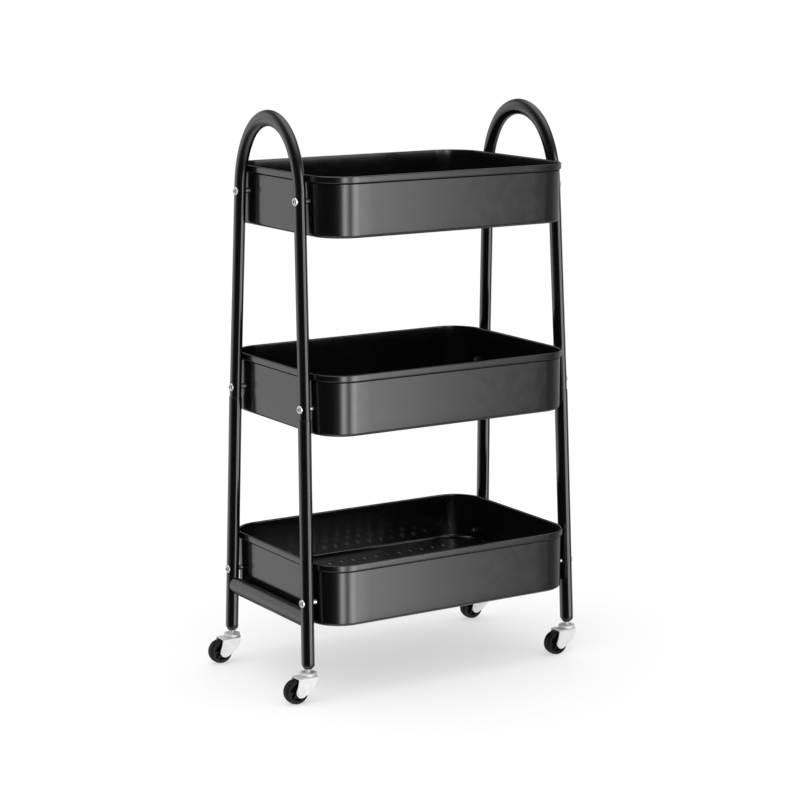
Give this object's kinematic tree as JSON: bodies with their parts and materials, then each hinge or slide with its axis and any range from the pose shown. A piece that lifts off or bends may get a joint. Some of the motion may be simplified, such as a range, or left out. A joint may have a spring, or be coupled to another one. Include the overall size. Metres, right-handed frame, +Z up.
{
  "type": "three tier utility cart",
  "caption": "Wheeled utility cart: deep pressed-steel trays hung between arched oval-tube end frames that serve as push handles, on small swivel casters.",
  "frame": {"origin": "floor level under the middle of the cart's bounding box", "axes": "+Z up, X along the trays' long side from one end frame to the other, -Y the open long side facing the viewer"},
  "size_m": [0.5014, 0.3024, 0.8296],
  "materials": {
    "frame_coat": "semi-gloss black powder coat",
    "tray_coat": "semi-gloss black powder coat",
    "nut_coat": "black",
    "plug_plastic": "moulded",
    "bright_zinc": "bright zinc plate",
    "caster_zinc": "bright zinc plate",
    "bearing_steel": "polished",
    "wheel_plastic": "moulded black",
    "tyre_black": "smooth black tread"
  },
  "bodies": {
    "cart": {"left_upper_arch": "frame_coat", "right_upper_arch": "frame_coat", "left_front_lower_leg": "frame_coat", "left_rear_lower_leg": "frame_coat", "right_front_lower_leg": "frame_coat", "right_rear_lower_leg": "frame_coat", "left_crossbar": "frame_coat", "right_crossbar": "frame_coat", "leg_end_plugs": "plug_plastic", "top_tray": "tray_coat", "top_tray_screws": "bright_zinc", "top_tray_spacers": "bright_zinc", "top_tray_nuts": "nut_coat", "middle_tray": "tray_coat", "middle_tray_screws": "bright_zinc", "middle_tray_spacers": "bright_zinc", "middle_tray_nuts": "nut_coat", "bottom_tray": "tray_coat", "bottom_tray_screws": "bright_zinc", "bottom_tray_spacers": "bright_zinc", "bottom_tray_nuts": "nut_coat", "left_front_caster_stem": "caster_zinc", "left_front_caster_race": "caster_zinc", "left_rear_caster_stem": "caster_zinc", "left_rear_caster_race": "caster_zinc", "right_front_caster_stem": "caster_zinc", "right_front_caster_race": "caster_zinc", "right_rear_caster_stem": "caster_zinc", "right_rear_caster_race": "caster_zinc"},
    "left_front_swivel": {"left_front_caster_fork": "caster_zinc", "left_front_caster_axle": "caster_zinc", "left_front_caster_balls": "bearing_steel"},
    "left_front_wheel": {"left_front_wheel_core": "wheel_plastic", "left_front_wheel_tyre": "tyre_black"},
    "left_rear_swivel": {"left_rear_caster_fork": "caster_zinc", "left_rear_caster_axle": "caster_zinc", "left_rear_caster_balls": "bearing_steel"},
    "left_rear_wheel": {"left_rear_wheel_core": "wheel_plastic", "left_rear_wheel_tyre": "tyre_black"},
    "right_front_swivel": {"right_front_caster_fork": "caster_zinc", "right_front_caster_axle": "caster_zinc", "right_front_caster_balls": "bearing_steel"},
    "right_front_wheel": {"right_front_wheel_core": "wheel_plastic", "right_front_wheel_tyre": "tyre_black"},
    "right_rear_swivel": {"right_rear_caster_fork": "caster_zinc", "right_rear_caster_axle": "caster_zinc", "right_rear_caster_balls": "bearing_steel"},
    "right_rear_wheel": {"right_rear_wheel_core": "wheel_plastic", "right_rear_wheel_tyre": "tyre_black"}
  },
  "joints": [
    {"name": "left_front_swivel_turn", "type": "hinge", "parent": "cart", "child": "left_front_swivel", "pos_m": [-0.21264, -0.1158, 0.04], "axis": [0, 0, 1], "continuous": true},
    {"name": "left_front_wheel_spin", "type": "hinge", "parent": "left_front_swivel", "child": "left_front_wheel", "pos_m": [-0.23294, -0.1158, 0.0178], "axis": [0, 1, 0], "continuous": true},
    {"name": "left_rear_swivel_turn", "type": "hinge", "parent": "cart", "child": "left_rear_swivel", "pos_m": [-0.21264, 0.1158, 0.04], "axis": [0, 0, 1], "continuous": true},
    {"name": "left_rear_wheel_spin", "type": "hinge", "parent": "left_rear_swivel", "child": "left_rear_wheel", "pos_m": [-0.23294, 0.1158, 0.0178], "axis": [0, 1, 0], "continuous": true},
    {"name": "right_front_swivel_turn", "type": "hinge", "parent": "cart", "child": "right_front_swivel", "pos_m": [0.23774, -0.1158, 0.04], "axis": [0, 0, 1], "continuous": true},
    {"name": "right_front_wheel_spin", "type": "hinge", "parent": "right_front_swivel", "child": "right_front_wheel", "pos_m": [0.21744, -0.1158, 0.0178], "axis": [0, 1, 0], "continuous": true},
    {"name": "right_rear_swivel_turn", "type": "hinge", "parent": "cart", "child": "right_rear_swivel", "pos_m": [0.23774, 0.1158, 0.04], "axis": [0, 0, 1], "continuous": true},
    {"name": "right_rear_wheel_spin", "type": "hinge", "parent": "right_rear_swivel", "child": "right_rear_wheel", "pos_m": [0.21744, 0.1158, 0.0178], "axis": [0, 1, 0], "continuous": true}
  ]
}
